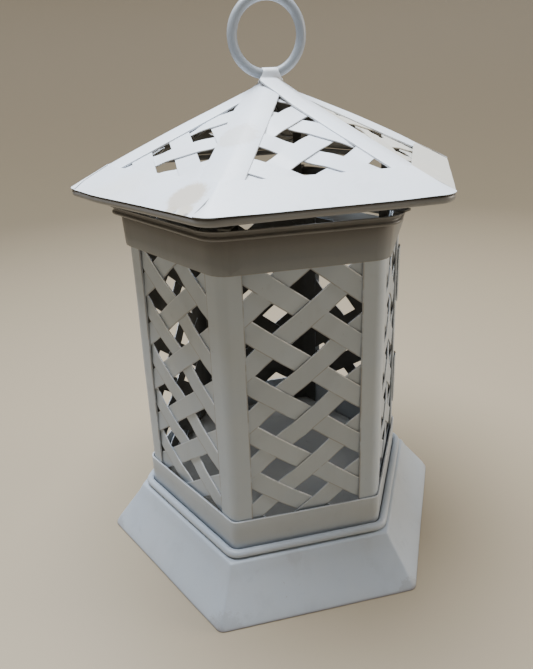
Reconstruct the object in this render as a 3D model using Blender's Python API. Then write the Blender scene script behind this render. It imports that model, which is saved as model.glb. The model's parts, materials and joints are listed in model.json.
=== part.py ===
"""Hexagonal candle lantern made of painted sheet metal.

A flared hollow base carries six folded corner posts. Five lattice panels of woven strips and one
hinged lattice door close the body between two bands. The roof is a six-sided pyramid of hip
strips and lattice panels that lifts off: its legs stand on the rim of the body. A carrying ring
is strapped to the apex.

The origin is the middle of the base's bottom. Corners lie at 0, 60, 120 ... degrees about Z, and
the faces' outward normals at 30, 90, 150 ... degrees; the front face's normal is -Y.
"""

from math import atan, atan2, cos, hypot, pi, radians, sin, sqrt, tan

import bmesh
import bpy
from mathutils import Euler, Matrix, Vector

MM = 0.001
SIDES = 6
COS30 = cos(radians(30))
GAP = 0.3 * MM
SHEET = 1.0 * MM

# Base: a flared skirt on a foot ring, a ledge on top, and a round wire bead on the ledge.
BASE_APOTHEM = 112.6 * MM
BASE_SHEET = 1.2 * MM
BASE_WALL = 1.9 * MM
FOOT_RING_WIDTH = 6.0 * MM
SHOULDER_APOTHEM = 91.8 * MM
SHOULDER_Z = 31.4 * MM
LEDGE_Z = 32.6 * MM
LEDGE_APOTHEM = 76.0 * MM
BASE_CORNER = 6.0 * MM
SHOULDER_CORNER = 4.0 * MM
BEAD_RADIUS = 2.6 * MM
BEAD_CORNER = 9.0 * MM

# Body: a hexagonal prism that narrows slightly towards the roof.
FLOOR_Z = LEDGE_Z + GAP
FLOOR_THICKNESS = 1.2 * MM
BODY_Z = FLOOR_Z + FLOOR_THICKNESS + GAP
BODY_APOTHEM = 82.6 * MM
BODY_TAPER = 0.0257
POST_TOP_Z = 236.0 * MM
POST_FLANGE = 12.2 * MM
POST_CORNER = 10.0 * MM
BAND_SHEET = 1.2 * MM
BOTTOM_BAND_TOP_Z = 57.7 * MM
BOTTOM_BAND_CORNER = 5.0 * MM
TOP_BAND_Z = 218.3 * MM
TOP_BAND_TOP_Z = 237.2 * MM
TOP_BAND_SWELL = 1.3 * MM
TOP_BAND_FLARE = 2.1 * MM
RIM_Z = TOP_BAND_TOP_Z + GAP
RIM_TOP_Z = 243.0 * MM
RIM_CORNER = 9.0 * MM

# Lattice: flat strips crossing at a fixed pitch across and up each face.
STRIP = 12.2 * MM
LATTICE_THICKNESS = 1.6 * MM
BODY_PITCH_U = 21.4 * MM
BODY_PITCH_W = 33.4 * MM
BODY_HOLE_Z = 173.5 * MM
BODY_HOLES = {"front": (3.9 * MM, 0), "front_left": (0.8 * MM, -4.2 * MM)}
USUAL_HOLE = (2.5 * MM, 0)
PANEL_END_GAP = 2.0 * MM
PANEL_SIDE_INSET = 6.0 * MM
PANEL_MARGIN = 4.0 * MM

# Door: an overlapping frame with its own lattice, hinged on the right-hand corner.
DOOR_FACE = 30
DOOR_CORNER = 0
DOOR_SHEET = 0.7 * MM
DOOR_Z = 59.2 * MM
DOOR_TOP_Z = 216.8 * MM
DOOR_EDGE_INSET = 3.0 * MM
DOOR_STRIP = 12.5 * MM
DOOR_LATTICE_SIDE_INSET = POST_FLANGE + 0.6 * MM
DOOR_LATTICE_END_INSET = 9.5 * MM
DOOR_LATTICE_MARGIN = 2.8 * MM
HINGE_LENGTH = 38.0 * MM
HINGE_Z = (96.0 * MM, 180.0 * MM)
HINGE_OUTER = 1.4 * MM
HINGE_BORE = 0.75 * MM
HINGE_LEAF = 9.0 * MM
CURL_SWEEP = radians(288)
KNUCKLE_GAP = 0.4 * MM
PIN_RADIUS = 0.65 * MM
PIN_HEAD_RADIUS = 1.3 * MM
PIN_HEAD_HEIGHT = 0.9 * MM
AXIS_BEYOND_CORNER = 0.1 * MM
AXIS_OFF_CORNER = 1.0 * MM
CATCH_WIDTH = 14.0 * MM
CATCH_GRIP = 9.0 * MM
CATCH_WRAP = 8.0 * MM

# Roof: a shallow six-sided pyramid, set down on the body slightly turned.
ROOF_TURN = radians(3.3)
ROOF_SHIFT = (1.5 * MM, -0.4 * MM)
EAVE_APOTHEM = 105.8 * MM
EAVE_Z = 255.5 * MM
APEX_Z = 308.2 * MM
EAVE_CORNER = 12.0 * MM
EAVE_BAND = 24.2 * MM
HIP_DEPTH = SHEET + GAP
HIP_FLANGE = 12.4 * MM
HIP_FLANGES = {"front_left": (15.4 * MM, 10.9 * MM), "front_right": (8.8 * MM, 15.4 * MM)}
HIP_START = 10.0 * MM
HIP_END_RADIUS = 2.0 * MM
ROOF_PANEL_DEPTH = 2 * (SHEET + GAP)
ROOF_PANEL_START = 16.0 * MM
ROOF_PANEL_END = 104.0 * MM
ROOF_PANEL_SIDE_INSET = 5.2 * MM
ROOF_PITCH_U = 20.5 * MM
ROOF_PITCH_W = 29.0 * MM
ROOF_HOLE_U = -2.8 * MM
ROOF_HOLE_S = 61.2 * MM
LEG_RADIUS = 81.2 * MM
LEG_SHEET = 1.2 * MM
LEG_WIDTH = 6.0 * MM
LEG_Z = 238.3 * MM
LEG_EAR_RADIUS = 96.6 * MM

# Strap and carrying ring on the apex.
RING_RADIUS = 19.6 * MM
RING_WIRE = 2.8 * MM
RING_Z = 328.8 * MM
RING_TURN = radians(-6.0)
STRAP_INNER = 3.8 * MM
STRAP_WIDTH = 10.4 * MM
STRAP_FOOT = 10.0 * MM

EAVE_RADIUS = EAVE_APOTHEM / COS30
ROOF_RISE = APEX_Z - EAVE_Z
ROOF_SLOPE = atan2(ROOF_RISE, EAVE_APOTHEM)
ROOF_SLANT = hypot(EAVE_APOTHEM, ROOF_RISE)

FACES = {"front": -90, "front_right": -30, "back": 90, "back_left": 150, "front_left": -150}
CORNERS = {"right": 0, "back_right": 60, "back_left": 120, "left": 180, "front_left": 240,
           "front_right": 300}
ROOF_FACES = {"front": -90, "front_right": -30, "back_right": 30, "back": 90, "back_left": 150,
              "front_left": -150}

PAINT = (0.78, 0.79, 0.80)
BASE_PAINT = (0.70, 0.72, 0.75)
BAND_PAINT = (0.66, 0.66, 0.65)
INSIDE_PAINT = (0.60, 0.60, 0.60)
PIN_STEEL = (0.35, 0.34, 0.33)


# ---------------------------------------------------------------- helpers

def clear_scene():
    """Start from an empty scene."""
    for item in list(bpy.data.objects):
        bpy.data.objects.remove(item, do_unlink=True)


def paint(name, colour, roughness=0.45, metallic=0.0):
    """Principled material of one colour."""
    material = bpy.data.materials.new(name)
    material.use_nodes = True
    shader = material.node_tree.nodes["Principled BSDF"]
    shader.inputs["Base Color"].default_value = (*colour, 1.0)
    shader.inputs["Roughness"].default_value = roughness
    shader.inputs["Metallic"].default_value = metallic
    material.diffuse_color = (*colour, 1.0)
    return material


def add_object(name, bm, colour, parent=None, matrix=None, smooth=None, metallic=0.0):
    """Turn a bmesh into a named object with its own material, placed by a matrix."""
    bmesh.ops.recalc_face_normals(bm, faces=bm.faces)
    mesh = bpy.data.meshes.new(name)
    bm.to_mesh(mesh)
    bm.free()
    mesh.materials.append(paint(name, colour, metallic=metallic))
    if smooth is not None:
        mesh.shade_smooth()
        mesh.set_sharp_from_angle(angle=radians(smooth))
    item = bpy.data.objects.new(name, mesh)
    bpy.context.scene.collection.objects.link(item)
    if parent is not None:
        item.parent = parent
    if matrix is not None:
        item.matrix_local = matrix
    return item


def add_empty(name, location, rotation=(0, 0, 0)):
    """A guide that carries the pieces of one moving body."""
    item = bpy.data.objects.new(name, None)
    item.empty_display_size = 20 * MM
    item.location = location
    item.rotation_euler = rotation
    bpy.context.scene.collection.objects.link(item)
    return item


def direction(degrees):
    """Horizontal unit vector."""
    return Vector((cos(radians(degrees)), sin(radians(degrees)), 0))


def body_apothem(z):
    """Distance from the axis to the outside of the posts' flat faces."""
    return BODY_APOTHEM - BODY_TAPER * (z - BODY_Z)


def side_half(apothem):
    """Half the length of a hexagon's side."""
    return apothem * tan(radians(30))


def rounded_hexagon(apothem, corner, z, steps=4):
    """Points of a hexagon with round corners, counter-clockwise."""
    points = []
    for side in range(SIDES):
        centre = direction(60 * side) * ((apothem - corner) / COS30)
        for step in range(steps + 1):
            angle = 60 * side - 30 + 60 * step / steps
            points.append(centre + direction(angle) * corner + Vector((0, 0, z)))
    return points


def loft(bm, loops, closed=True, cap=False):
    """Skin loops of equal length; closed joins the last to the first, cap fills both ends."""
    rows = [[bm.verts.new(point) for point in loop] for loop in loops]
    count = len(rows[0])
    pairs = list(zip(rows, rows[1:]))
    if closed:
        pairs.append((rows[-1], rows[0]))
    for lower, upper in pairs:
        for i in range(count):
            j = (i + 1) % count
            bm.faces.new((lower[i], lower[j], upper[j], upper[i]))
    if cap:
        bm.faces.new(rows[0])
        bm.faces.new(rows[-1])


def hexagon_ring(name, section, colour, parent=None, steps=4, smooth=35):
    """Closed section of (apothem, corner radius, z) carried round the hexagon."""
    bm = bmesh.new()
    loft(bm, [rounded_hexagon(apothem, corner, z, steps) for apothem, corner, z in section])
    return add_object(name, bm, colour, parent, smooth=smooth)


def flat_ring(name, inner, outer, corner, low, high):
    """Flat hexagonal ring of the base."""
    section = [(outer, corner, low), (outer, corner, high), (inner, corner, high), (inner, corner, low)]
    return hexagon_ring(name, section, BASE_PAINT)


def prism(bm, outline, low, high):
    """Extrude an outline; low and high each turn an outline point into a corner in space."""
    loft(bm, [[low(*point) for point in outline], [high(*point) for point in outline]],
         closed=False, cap=True)


def face_matrix(normal, apothem, z, lean):
    """Frame of a face: X along it, Z up its slope, Y into the lantern; lean tips its top inwards."""
    rotation = Euler((-lean, 0, radians(normal + 90)), "XYZ").to_matrix().to_4x4()
    return Matrix.Translation(direction(normal) * apothem + Vector((0, 0, z))) @ rotation


def cut_along(bm, u, w, normal):
    """Split every face of a flat sheet along a line through (u, w)."""
    geometry = bm.verts[:] + bm.edges[:] + bm.faces[:]
    bmesh.ops.bisect_plane(bm, geom=geometry, plane_co=(u, 0, w), plane_no=(normal[0], 0, normal[1]),
                           dist=1e-7)


def lattice(outline, hole, pitch, margin, front=0.0, thickness=LATTICE_THICKNESS):
    """Convex outline in (u, w) made into a plate of crossing strips with a solid margin.

    hole is the middle of one opening, pitch the spacing of the openings across and up. The plate
    runs from front to front + thickness along Y.
    """
    bm = bmesh.new()
    bm.faces.new([bm.verts.new((u, front, w)) for u, w in outline])
    slope = pitch[1] / (2 * pitch[0])
    half = STRIP / 2 * sqrt(1 + slope * slope)
    lowest = min(w for _, w in outline)
    highest = max(w for _, w in outline)
    widest = max(abs(u) for u, _ in outline)
    reach = int((highest - lowest + 2 * slope * widest) / pitch[1]) + 2
    families = []
    for lean in (1, -1):
        first = hole[1] - lean * slope * hole[0] + pitch[1] / 2
        families.append((lean * slope, first))
        for number in range(-reach, reach + 1):
            for edge in (-half, half):
                cut_along(bm, 0, first + number * pitch[1] + edge, (-lean * slope, 1))
    borders = []
    for (u0, w0), (u1, w1) in zip(outline, outline[1:] + outline[:1]):
        length = hypot(u1 - u0, w1 - w0)
        inward = ((w0 - w1) / length, (u1 - u0) / length)
        borders.append((u0, w0, inward))
        cut_along(bm, u0 + inward[0] * margin, w0 + inward[1] * margin, inward)

    def is_solid(u, w):
        for u0, w0, inward in borders:
            if (u - u0) * inward[0] + (w - w0) * inward[1] < margin:
                return True
        for rise, first in families:
            offset = (w - rise * u - first) % pitch[1]
            if min(offset, pitch[1] - offset) < half:
                return True
        return False

    openings = []
    for face in bm.faces:
        middle = face.calc_center_median()
        if not is_solid(middle.x, middle.z):
            openings.append(face)
    bmesh.ops.delete(bm, geom=openings, context="FACES")
    bmesh.ops.dissolve_limit(bm, angle_limit=radians(1), verts=bm.verts[:], edges=bm.edges[:])
    extruded = bmesh.ops.extrude_face_region(bm, geom=bm.faces[:])["geom"]
    moved = [item for item in extruded if isinstance(item, bmesh.types.BMVert)]
    bmesh.ops.translate(bm, verts=moved, vec=(0, thickness, 0))
    return bm


# ---------------------------------------------------------------- base

def make_base():
    """Flared skirt, the foot ring in it, the ledge, and the wire bead at the body's foot."""
    skirt = [
        (BASE_APOTHEM, BASE_CORNER, 0),
        (SHOULDER_APOTHEM, SHOULDER_CORNER, SHOULDER_Z - 0.8 * MM),
        (SHOULDER_APOTHEM - 0.9 * MM, SHOULDER_CORNER, SHOULDER_Z + 0.5 * MM),
        (SHOULDER_APOTHEM - 2.6 * MM, SHOULDER_CORNER, LEDGE_Z),
        (SHOULDER_APOTHEM - 2.8 * MM, SHOULDER_CORNER, LEDGE_Z - BASE_SHEET),
        (SHOULDER_APOTHEM - 1.7 * MM, SHOULDER_CORNER, SHOULDER_Z - 0.9 * MM),
        (BASE_APOTHEM - BASE_WALL, BASE_CORNER, 0),
    ]
    hexagon_ring("base_skirt", skirt, BASE_PAINT)

    ring_outer = BASE_APOTHEM - BASE_WALL - BASE_SHEET * tan(radians(34)) - GAP
    ring_inner = ring_outer - FOOT_RING_WIDTH
    flat_ring("base_foot_ring", ring_inner, ring_outer, BASE_CORNER, 0, BASE_SHEET)
    ledge_outer = SHOULDER_APOTHEM - 2.6 * MM - GAP
    flat_ring("base_ledge", LEDGE_APOTHEM, ledge_outer, SHOULDER_CORNER, LEDGE_Z - BASE_SHEET, LEDGE_Z)

    bead_z = LEDGE_Z + GAP + BEAD_RADIUS
    band_outer = body_apothem(bead_z) + GAP + BAND_SHEET
    bead_apothem = band_outer + GAP + BEAD_RADIUS
    bead = []
    for step in range(8):
        angle = 2 * pi * step / 8
        shift = BEAD_RADIUS * cos(angle)
        bead.append((bead_apothem + shift, BEAD_CORNER + shift, bead_z + BEAD_RADIUS * sin(angle)))
    hexagon_ring("base_bead", bead, BASE_PAINT, smooth=60)

    bm = bmesh.new()
    plate = body_apothem(FLOOR_Z) - GAP
    loft(bm, [rounded_hexagon(plate, POST_CORNER, FLOOR_Z),
              rounded_hexagon(plate, POST_CORNER, FLOOR_Z + FLOOR_THICKNESS)], closed=False, cap=True)
    add_object("floor_plate", bm, INSIDE_PAINT)


# ---------------------------------------------------------------- body

def post_outline(corner, z):
    """Section of a folded corner post at height z."""
    apothem = body_apothem(z)
    outside = []
    inside = []
    sharp = direction(corner) * (apothem / COS30)
    arc_centre = direction(corner) * ((apothem - POST_CORNER) / COS30)
    for turn in (-1, 1):
        normal = direction(corner + 30 * turn)
        along = direction(corner + 120 * turn)
        flange_end = sharp + along * POST_FLANGE
        bend = [direction(corner + 30 * turn * step / 3) for step in range(3, 0, -1)]
        outer = [flange_end] + [arc_centre + way * POST_CORNER for way in bend]
        inner = [flange_end - normal * SHEET] + [arc_centre + way * (POST_CORNER - SHEET) for way in bend]
        outside.append(outer)
        inside.append(inner)
    nose = direction(corner)
    outer_line = outside[0] + [arc_centre + nose * POST_CORNER] + outside[1][::-1]
    inner_line = inside[0] + [arc_centre + nose * (POST_CORNER - SHEET)] + inside[1][::-1]
    height = Vector((0, 0, z))
    return [point + height for point in outer_line + inner_line[::-1]]


def make_posts():
    for name, corner in CORNERS.items():
        bm = bmesh.new()
        loft(bm, [post_outline(corner, BODY_Z), post_outline(corner, POST_TOP_Z)], closed=False, cap=True)
        add_object("post_" + name, bm, PAINT, smooth=25)


def band_section(low, high, corner, swell=0.0, flare=0.0):
    """Upright band just outside the posts, fuller by swell at its lower and by flare at its upper edge."""
    inner_low = body_apothem(low) + GAP
    inner_high = body_apothem(high) + GAP + flare / 2
    outer_low = BAND_SHEET + swell
    outer_high = BAND_SHEET + flare / 2
    return [
        (inner_low + outer_low, corner + outer_low, low),
        (inner_high + outer_high, corner + flare / 2 + outer_high, high),
        (inner_high, corner + flare / 2, high),
        (inner_low, corner, low),
    ]


def make_bands():
    """Bands round the foot and the head of the posts, and the flared rim on top."""
    hexagon_ring("bottom_band", band_section(FLOOR_Z, BOTTOM_BAND_TOP_Z, BOTTOM_BAND_CORNER), BAND_PAINT)
    top_corner = POST_CORNER + GAP
    section = band_section(TOP_BAND_Z, TOP_BAND_TOP_Z, top_corner, TOP_BAND_SWELL, TOP_BAND_FLARE)
    hexagon_ring("top_band", section, BAND_PAINT)
    inner = body_apothem(RIM_Z) + 2.0 * MM
    profile = [
        (0.0, RIM_Z), (5.0 * MM, RIM_Z), (6.0 * MM, RIM_Z + 0.7 * MM), (6.0 * MM, RIM_Z + 1.5 * MM),
        (4.8 * MM, RIM_Z + 2.3 * MM), (5.0 * MM, RIM_Z + 3.3 * MM), (7.2 * MM, RIM_TOP_Z - 0.6 * MM),
        (7.2 * MM, RIM_TOP_Z), (5.7 * MM, RIM_TOP_Z), (2.7 * MM, RIM_Z + 3.5 * MM),
        (1.0 * MM, RIM_Z + 2.0 * MM), (0.0, RIM_Z + 1.2 * MM),
    ]
    hexagon_ring("top_rim", [(inner + out, RIM_CORNER + out, z) for out, z in profile], BAND_PAINT)


def panel_frame(normal):
    """Frame of a body face, at the height of the lattice's middle opening."""
    return face_matrix(normal, body_apothem(BODY_HOLE_Z), BODY_HOLE_Z, atan(BODY_TAPER))


def panel_outline(low, high, inset):
    """Corners of a tapering panel whose sides stand inset from the corners of the body."""
    stretch = sqrt(1 + BODY_TAPER ** 2)
    half_low = side_half(body_apothem(low)) - inset
    half_high = side_half(body_apothem(high)) - inset
    w_low = (low - BODY_HOLE_Z) * stretch
    w_high = (high - BODY_HOLE_Z) * stretch
    return [(-half_low, w_low), (half_low, w_low), (half_high, w_high), (-half_high, w_high)]


def make_panels():
    """Fixed lattice panels behind the posts' flanges."""
    for name, normal in FACES.items():
        outline = panel_outline(BODY_Z + PANEL_END_GAP, POST_TOP_Z - PANEL_END_GAP, PANEL_SIDE_INSET)
        hole = BODY_HOLES.get(name, USUAL_HOLE)
        bm = lattice(outline, hole, (BODY_PITCH_U, BODY_PITCH_W), PANEL_MARGIN, front=SHEET + GAP)
        add_object("panel_" + name, bm, PAINT, matrix=panel_frame(normal))


# ---------------------------------------------------------------- door

def corner_line(z):
    """Point of the sharp corner on which the door turns, moved out to the hinges' axis."""
    radius = body_apothem(z) / COS30 + AXIS_BEYOND_CORNER
    off_corner = direction(DOOR_CORNER + 90) * AXIS_OFF_CORNER
    return direction(DOOR_CORNER) * radius + off_corner + Vector((0, 0, z))


def hinge_tilt():
    """The hinges' axis leans with the corner."""
    return -atan(BODY_TAPER / COS30)


def leaf_outline(turn):
    """Rolled hinge leaf seen along its axis: the plate, then the neck and curl round the pin.

    turn is the way the plate leaves the pin: 1 along the door, -1 along the fixed side. The curl
    stops short of the plate, and the plate stands clear of the other leaf's curls.
    """
    along = direction(DOOR_CORNER + 120 * turn)
    out = direction(DOOR_CORNER + 30 * turn)
    root = HINGE_OUTER + KNUCKLE_GAP
    plate = [out * HINGE_OUTER + along * root, out * HINGE_OUTER + along * HINGE_LEAF,
             out * HINGE_BORE + along * HINGE_LEAF, out * HINGE_BORE + along * root]
    steps = 12
    outer = []
    inner = []
    for step in range(steps + 1):
        angle = CURL_SWEEP * step / steps
        way = out * cos(angle) - along * sin(angle)
        outer.append(way * HINGE_OUTER)
        inner.append(way * HINGE_BORE)
    return plate, inner + outer[::-1]


def rolled_leaf(turn, knuckles, low, high):
    """Leaf from low to high with curls along the stretches listed in knuckles."""
    plate, curl = leaf_outline(turn)
    levels = sorted({low, high, *[z for stretch in knuckles for z in stretch]})
    bm = bmesh.new()
    rows = []
    for z in levels:
        height = Vector((0, 0, z))
        rows.append([bm.verts.new(point + height) for point in plate + curl])
    last = len(plate) - 1
    curl_loop = [last] + list(range(last + 1, len(rows[0]))) + [0]

    def has_knuckle(index):
        if index < 0 or index >= len(levels) - 1:
            return False
        middle = (levels[index] + levels[index + 1]) / 2
        return any(start < middle < end for start, end in knuckles)

    for index in range(len(levels) - 1):
        lower = rows[index]
        upper = rows[index + 1]
        walls = [(i, i + 1) for i in range(last)]
        if has_knuckle(index):
            walls += list(zip(curl_loop, curl_loop[1:]))
        else:
            walls.append((last, 0))
        for i, j in walls:
            bm.faces.new((lower[i], lower[j], upper[j], upper[i]))
    bm.faces.new(rows[0][:last + 1])
    bm.faces.new(rows[-1][:last + 1])
    for index in range(len(levels)):
        if has_knuckle(index) != has_knuckle(index - 1):
            bm.faces.new([rows[index][i] for i in curl_loop])
    loose = [vert for vert in bm.verts if not vert.link_faces]
    bmesh.ops.delete(bm, geom=loose, context="VERTS")
    bmesh.ops.triangulate(bm, faces=[face for face in bm.faces if len(face.verts) > 4])
    return bm


def make_hinges(door_axis):
    """Two rolled hinges on the corner post, with their pins."""
    half = HINGE_LENGTH / 2
    split = HINGE_LENGTH / 6
    fixed_knuckles = [(-half, -split - KNUCKLE_GAP / 2), (split + KNUCKLE_GAP / 2, half)]
    door_knuckle = [(-split + KNUCKLE_GAP / 2, split - KNUCKLE_GAP / 2)]
    tilt = Euler((0, hinge_tilt(), 0)).to_matrix().to_4x4()
    for name, z in zip(("lower", "upper"), HINGE_Z):
        place = Matrix.Translation(corner_line(z)) @ tilt
        hinge = add_empty(name + "_hinge", (0, 0, 0))
        hinge.matrix_world = place
        add_object(name + "_hinge_fixed_leaf", rolled_leaf(-1, fixed_knuckles, -half, half), PAINT,
                   parent=hinge, smooth=40)
        bm = bmesh.new()
        profile = [(PIN_RADIUS, -half), (PIN_RADIUS, half + 0.2 * MM),
                   (PIN_HEAD_RADIUS, half + 0.3 * MM), (PIN_HEAD_RADIUS * 0.8, half + PIN_HEAD_HEIGHT)]
        loft(bm, [circle(radius, height, 12) for radius, height in profile], closed=False, cap=True)
        add_object(name + "_hinge_pin", bm, PIN_STEEL, parent=hinge, smooth=40, metallic=0.8)
        local = door_axis.matrix_world.inverted() @ place
        add_object(name + "_hinge_door_leaf", rolled_leaf(1, door_knuckle, -half, half), PAINT,
                   parent=door_axis, matrix=local, smooth=40)


def circle(radius, z, count):
    """Points of a circle at height z."""
    return [Vector((radius * cos(2 * pi * i / count), radius * sin(2 * pi * i / count), z))
            for i in range(count)]


def make_door():
    """Door frame, its lattice and its catch, all carried by the hinges' axis."""
    door_axis = add_empty("door_axis", corner_line(HINGE_Z[0]), (0, hinge_tilt(), 0))
    bpy.context.view_layer.update()
    place = door_axis.matrix_world.inverted() @ panel_frame(DOOR_FACE)

    outer = panel_outline(DOOR_Z, DOOR_TOP_Z, DOOR_EDGE_INSET)
    opening = panel_outline(DOOR_Z + DOOR_STRIP, DOOR_TOP_Z - DOOR_STRIP, DOOR_EDGE_INSET + DOOR_STRIP)
    front = -GAP - DOOR_SHEET
    bm = bmesh.new()
    loft(bm, [[Vector((u, y, w)) for u, w in outline]
              for outline, y in ((outer, front), (outer, -GAP), (opening, -GAP), (opening, front))])
    add_object("door_frame", bm, PAINT, parent=door_axis, matrix=place)

    outline = panel_outline(DOOR_Z + DOOR_LATTICE_END_INSET, DOOR_TOP_Z - DOOR_LATTICE_END_INSET,
                            DOOR_LATTICE_SIDE_INSET)
    bm = lattice(outline, USUAL_HOLE, (BODY_PITCH_U, BODY_PITCH_W), DOOR_LATTICE_MARGIN)
    add_object("door_lattice", bm, PAINT, parent=door_axis, matrix=place)

    make_catch(door_axis, place)
    make_hinges(door_axis)


def make_catch(door_axis, place):
    """Tab on the door's free edge that wraps round the corner post and is pulled by a finger."""
    side = side_half(body_apothem(BODY_HOLE_Z))
    start = side - DOOR_EDGE_INSET - CATCH_GRIP
    surface = -2 * GAP - DOOR_SHEET
    corner = side + 1.6 * MM
    wrap = (cos(radians(60)), sin(radians(60)))
    lip = (cos(radians(-20)), sin(radians(-20)))
    middle = [(start, surface), (corner, surface),
              (corner + CATCH_WRAP * wrap[0], surface + CATCH_WRAP * wrap[1])]
    middle.append((middle[-1][0] + 4 * MM * lip[0], middle[-1][1] + 4 * MM * lip[1]))
    outside = []
    for index, (u, y) in enumerate(middle):
        before = middle[max(index - 1, 0)]
        after = middle[min(index + 1, len(middle) - 1)]
        run = Vector((after[0] - before[0], after[1] - before[1])).normalized()
        outside.append((u + run.y * DOOR_SHEET, y - run.x * DOOR_SHEET))
    outline = middle + outside[::-1]
    half = CATCH_WIDTH / 2
    bm = bmesh.new()
    prism(bm, outline, lambda u, y: Vector((u, y, -half)), lambda u, y: Vector((u, y, half)))
    add_object("door_catch", bm, PAINT, parent=door_axis, matrix=place)


# ---------------------------------------------------------------- roof

def roof_section(s, depth, corner):
    """Point of a section, s up the slope from the eave and depth under the roof's surface."""
    apothem = EAVE_APOTHEM - s * cos(ROOF_SLOPE) - depth * sin(ROOF_SLOPE)
    z = EAVE_Z + s * sin(ROOF_SLOPE) - depth * cos(ROOF_SLOPE)
    return apothem, corner, z


def make_eave(roof_axis):
    """Sloping band round the eave and the rolled rim under its edge."""
    stations = [(0, EAVE_CORNER), (HIP_START - 2 * MM, 3 * MM), (EAVE_BAND, 1.5 * MM)]
    section = [roof_section(s, 0, corner) for s, corner in stations]
    section += [roof_section(s, SHEET, corner) for s, corner in reversed(stations)]
    hexagon_ring("eave_band", section, PAINT, parent=roof_axis, smooth=20)
    profile = [
        (-3.0 * MM, -4.6 * MM), (-3.0 * MM, -1.5 * MM), (-1.6 * MM, -1.5 * MM), (-1.6 * MM, -2.2 * MM),
        (-0.4 * MM, -2.6 * MM), (-0.2 * MM, -3.5 * MM), (-0.6 * MM, -4.4 * MM), (-1.2 * MM, -4.6 * MM),
    ]
    section = [(EAVE_APOTHEM + out, EAVE_CORNER + out, EAVE_Z + z) for out, z in profile]
    hexagon_ring("eave_rim", section, BAND_PAINT, parent=roof_axis)


def hip_height(radius):
    """Height of a hip's outer crease at radius from the axis."""
    return EAVE_Z + ROOF_RISE * (1 - radius / EAVE_RADIUS) - HIP_DEPTH / cos(ROOF_SLOPE)


def hip_station(radius, flanges):
    """Chevron section of a hip strip where its crease is at radius from the axis."""
    left, right = [min(flange, radius / 2 - 0.2 * MM) for flange in flanges]
    crease = Vector((radius, 0, hip_height(radius)))
    under = Vector((0, 0, -SHEET / cos(ROOF_SLOPE)))
    outline = [crease + direction(-120) * left, crease, crease + direction(120) * right]
    return outline + [point + under for point in reversed(outline)]


def make_hips(roof_axis):
    """Six folded strips that cover the pyramid's edges; each flange ends short of its face's middle."""
    start = EAVE_RADIUS * (1 - HIP_START / ROOF_SLANT)
    for name, corner in CORNERS.items():
        flanges = HIP_FLANGES.get(name, (HIP_FLANGE, HIP_FLANGE))
        narrowing = {2 * (flange + 0.2 * MM) for flange in flanges}
        bm = bmesh.new()
        loft(bm, [hip_station(radius, flanges)
                  for radius in sorted({start, HIP_END_RADIUS, *narrowing}, reverse=True)],
             closed=False, cap=True)
        turn = Matrix.Rotation(radians(corner), 4, "Z")
        add_object("roof_hip_" + name, bm, PAINT, parent=roof_axis, matrix=turn)


def make_roof_panels(roof_axis):
    """Lattice panels under the hip strips and the eave band."""
    widths = [EAVE_RADIUS / 2 * (1 - s / ROOF_SLANT) - ROOF_PANEL_SIDE_INSET
              for s in (ROOF_PANEL_START, ROOF_PANEL_END)]
    low = ROOF_PANEL_START - ROOF_HOLE_S
    high = ROOF_PANEL_END - ROOF_HOLE_S
    outline = [(-widths[0], low), (widths[0], low), (widths[1], high), (-widths[1], high)]
    middle = roof_section(ROOF_HOLE_S, 0, 0)
    for name, normal in ROOF_FACES.items():
        bm = lattice(outline, (ROOF_HOLE_U, 0), (ROOF_PITCH_U, ROOF_PITCH_W), 2.5 * MM,
                     front=ROOF_PANEL_DEPTH)
        place = face_matrix(normal, middle[0], middle[2], pi / 2 - ROOF_SLOPE)
        add_object("roof_panel_" + name, bm, PAINT, parent=roof_axis, matrix=place)


def make_legs(roof_axis):
    """Bent strips under the hips that stand on the body's rim and keep the roof centred."""
    outer = LEG_RADIUS + LEG_SHEET
    ear = RIM_TOP_Z + GAP
    top = hip_height(LEG_RADIUS) - SHEET / cos(ROOF_SLOPE) - LEG_WIDTH / 2 * tan(ROOF_SLOPE) / 2 - GAP
    outline = [(LEG_RADIUS, top), (LEG_RADIUS, LEG_Z), (outer, LEG_Z), (outer, ear),
               (LEG_EAR_RADIUS, ear), (LEG_EAR_RADIUS, ear + LEG_SHEET), (outer, ear + LEG_SHEET),
               (outer, top - LEG_SHEET / 2)]
    half = LEG_WIDTH / 2
    for name, corner in CORNERS.items():
        bm = bmesh.new()
        prism(bm, outline, lambda r, z: Vector((r, -half, z)), lambda r, z: Vector((r, half, z)))
        turn = Matrix.Rotation(radians(corner), 4, "Z")
        add_object("roof_leg_" + name, bm, PAINT, parent=roof_axis, matrix=turn)


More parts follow.
